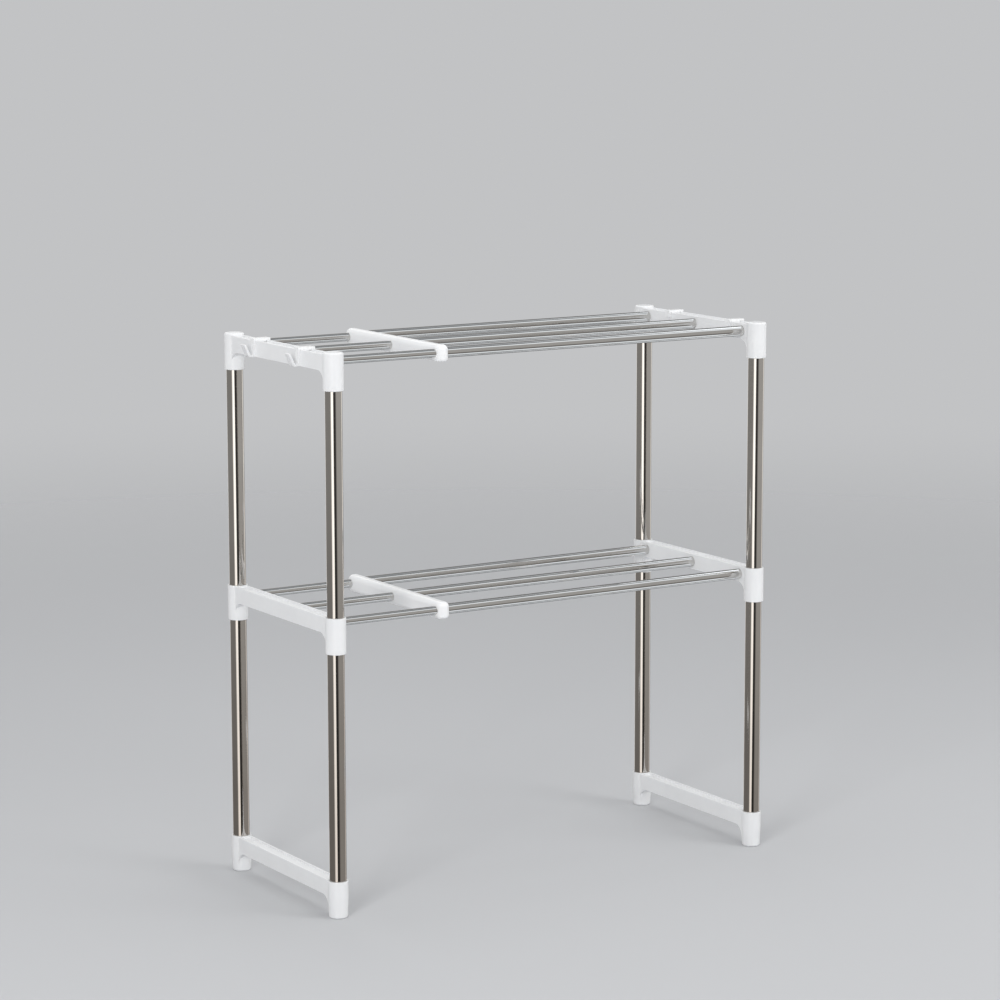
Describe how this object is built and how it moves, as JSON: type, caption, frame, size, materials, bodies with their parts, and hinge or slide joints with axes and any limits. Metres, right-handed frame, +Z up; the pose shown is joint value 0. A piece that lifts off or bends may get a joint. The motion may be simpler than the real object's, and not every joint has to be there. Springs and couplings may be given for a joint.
{
  "type": "adjustable microwave rack",
  "caption": "Open telescopic kitchen rack of steel tubes and white moulded rails that straddles a microwave and widens by sliding its shelf bars, with clip-on side hooks.",
  "frame": {"origin": "centre of the footprint on the floor, with the shelves drawn out as in the picture", "axes": "+X to the right, along the shelf bars towards the frame that carries the thick bars; +Y to the back; +Z up"},
  "size_m": [0.6112, 0.254, 0.63],
  "materials": {
    "rail_plastic": "satin white moulded plastic",
    "hook_plastic": "satin white moulded plastic",
    "leg_steel": "bright polished stainless steel tube",
    "bar_steel": "bright polished stainless steel tube",
    "glide_plastic": "plain natural plastic"
  },
  "bodies": {
    "left_frame": {"left_top_rail": "rail_plastic", "left_mid_rail": "rail_plastic", "left_foot_rail": "rail_plastic", "left_lower_leg_front": "leg_steel", "left_lower_leg_rear": "leg_steel", "left_upper_leg_front": "leg_steel", "left_upper_leg_rear": "leg_steel", "left_hook_front": "hook_plastic", "left_hook_rear": "hook_plastic", "top_inner_bar_front": "bar_steel", "top_glide_front": "glide_plastic", "top_inner_bar_centre": "bar_steel", "top_glide_centre": "glide_plastic", "top_inner_bar_rear": "bar_steel", "top_glide_rear": "glide_plastic", "mid_inner_bar_front": "bar_steel", "mid_glide_front": "glide_plastic", "mid_inner_bar_centre": "bar_steel", "mid_glide_centre": "glide_plastic", "mid_inner_bar_rear": "bar_steel", "mid_glide_rear": "glide_plastic"},
    "right_frame": {"right_top_rail": "rail_plastic", "right_mid_rail": "rail_plastic", "right_foot_rail": "rail_plastic", "right_lower_leg_front": "leg_steel", "right_lower_leg_rear": "leg_steel", "right_upper_leg_front": "leg_steel", "right_upper_leg_rear": "leg_steel", "right_hook_front": "hook_plastic", "right_hook_rear": "hook_plastic", "top_outer_bar_front": "bar_steel", "top_outer_bar_centre": "bar_steel", "top_outer_bar_rear": "bar_steel", "top_coupler": "rail_plastic", "mid_outer_bar_front": "bar_steel", "mid_outer_bar_centre": "bar_steel", "mid_outer_bar_rear": "bar_steel", "mid_coupler": "rail_plastic"}
  },
  "joints": [
    {"name": "width_slide", "type": "slide", "parent": "left_frame", "child": "right_frame", "axis": [1, 0, 0], "range_m": [-0.127, 0.225]}
  ]
}
